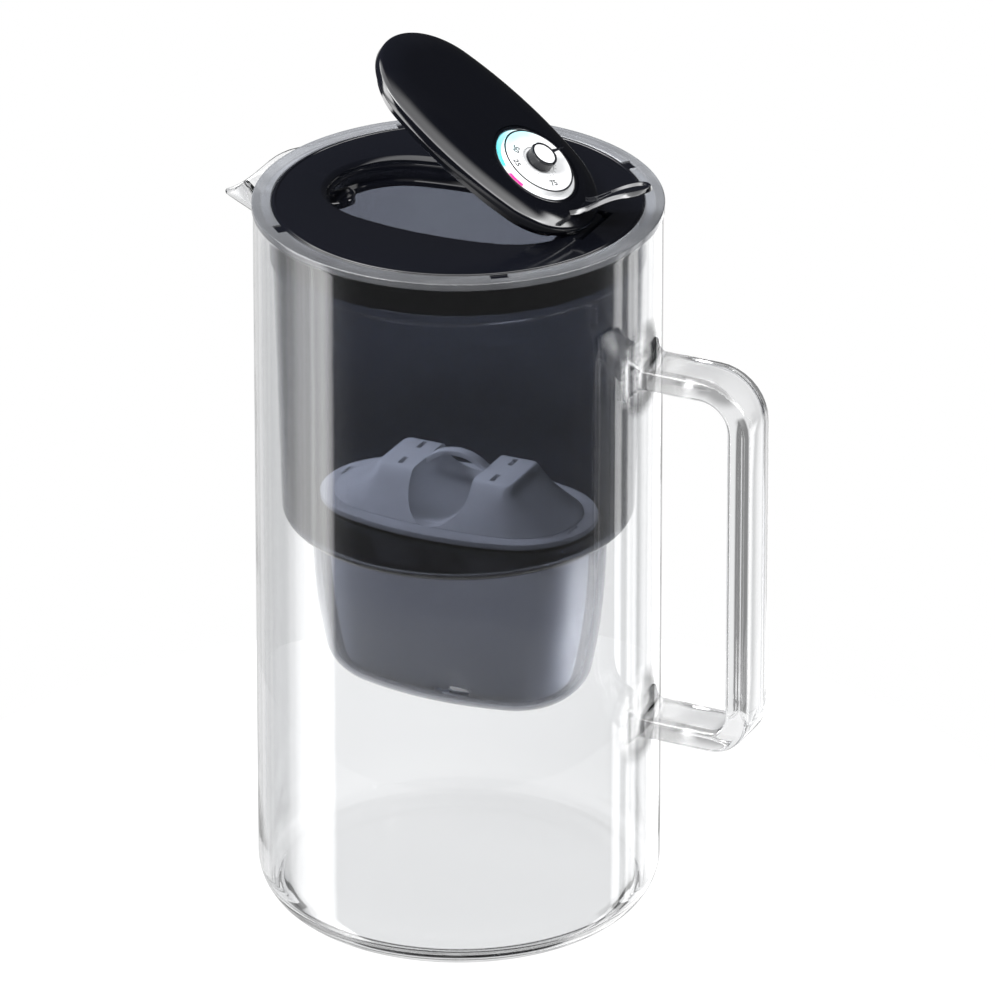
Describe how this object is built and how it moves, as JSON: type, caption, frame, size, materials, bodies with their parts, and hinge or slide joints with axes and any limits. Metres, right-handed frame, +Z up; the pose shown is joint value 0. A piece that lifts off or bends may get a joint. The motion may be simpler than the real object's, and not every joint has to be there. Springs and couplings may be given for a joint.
{
  "type": "water filter pitcher",
  "caption": "Glass water filter pitcher with side handle and spout, smoked hopper, oval filter cartridge, and a gloss lid whose hinged flap carries a round change dial.",
  "frame": {"origin": "on the jug's axis at the centre of its base", "axes": "+Z up, +X towards the handle, -X towards the spout"},
  "size_m": [0.2019, 0.1408, 0.317],
  "materials": {
    "glass": "clear, smooth",
    "smoked_plastic": "clear smoked, smooth",
    "black_gloss": "polished",
    "black_satin": "satin",
    "white_plastic": "smooth",
    "printed_white": "smooth, with printed colour segments",
    "grey_plastic": "satin",
    "natural_plastic": "satin",
    "mesh_fabric": "fine woven mesh",
    "filter_fill": "granular",
    "rubber": "matt",
    "steel": "fine machined"
  },
  "bodies": {
    "jug": {"glass_jug": "glass", "glass_handle": "glass"},
    "hopper": {"hopper": "smoked_plastic"},
    "lid": {"lid": "black_gloss", "hinge_pin": "steel"},
    "flap": {"flap_shell": "black_gloss", "flap_base": "black_satin", "dial_bezel": "black_gloss", "dial_colour_ring": "printed_white", "dial_face": "white_plastic", "click_spring": "steel"},
    "dial": {"dial_knob": "black_gloss", "dial_cap": "white_plastic", "dial_pointer": "black_satin", "dial_washer": "steel", "dial_screw": "steel", "detent_wheel": "natural_plastic"},
    "cartridge": {"cartridge_body": "grey_plastic", "cartridge_cap": "grey_plastic", "cartridge_seal": "rubber", "inlet_screen": "mesh_fabric", "filter_media": "filter_fill", "outlet_screen": "mesh_fabric"}
  },
  "joints": [
    {"name": "hopper_lift", "type": "slide", "parent": "jug", "child": "hopper", "axis": [0, 0, 1], "range_m": [0, 0.2]},
    {"name": "lid_lift", "type": "slide", "parent": "hopper", "child": "lid", "axis": [0, 0, 1], "range_m": [0, 0.04]},
    {"name": "flap_hinge", "type": "hinge", "parent": "lid", "child": "flap", "pos_m": [0.047, 0, 0.259], "axis": [0, 1, 0], "range_deg": [-35.5, 27]},
    {"name": "dial_turn", "type": "hinge", "parent": "flap", "child": "dial", "pos_m": [0.0282, 0, 0.27966], "axis": [0.5807, 0, 0.8141], "continuous": true},
    {"name": "cartridge_lift", "type": "slide", "parent": "hopper", "child": "cartridge", "axis": [0, 0, 1], "range_m": [0, 0.075]}
  ]
}
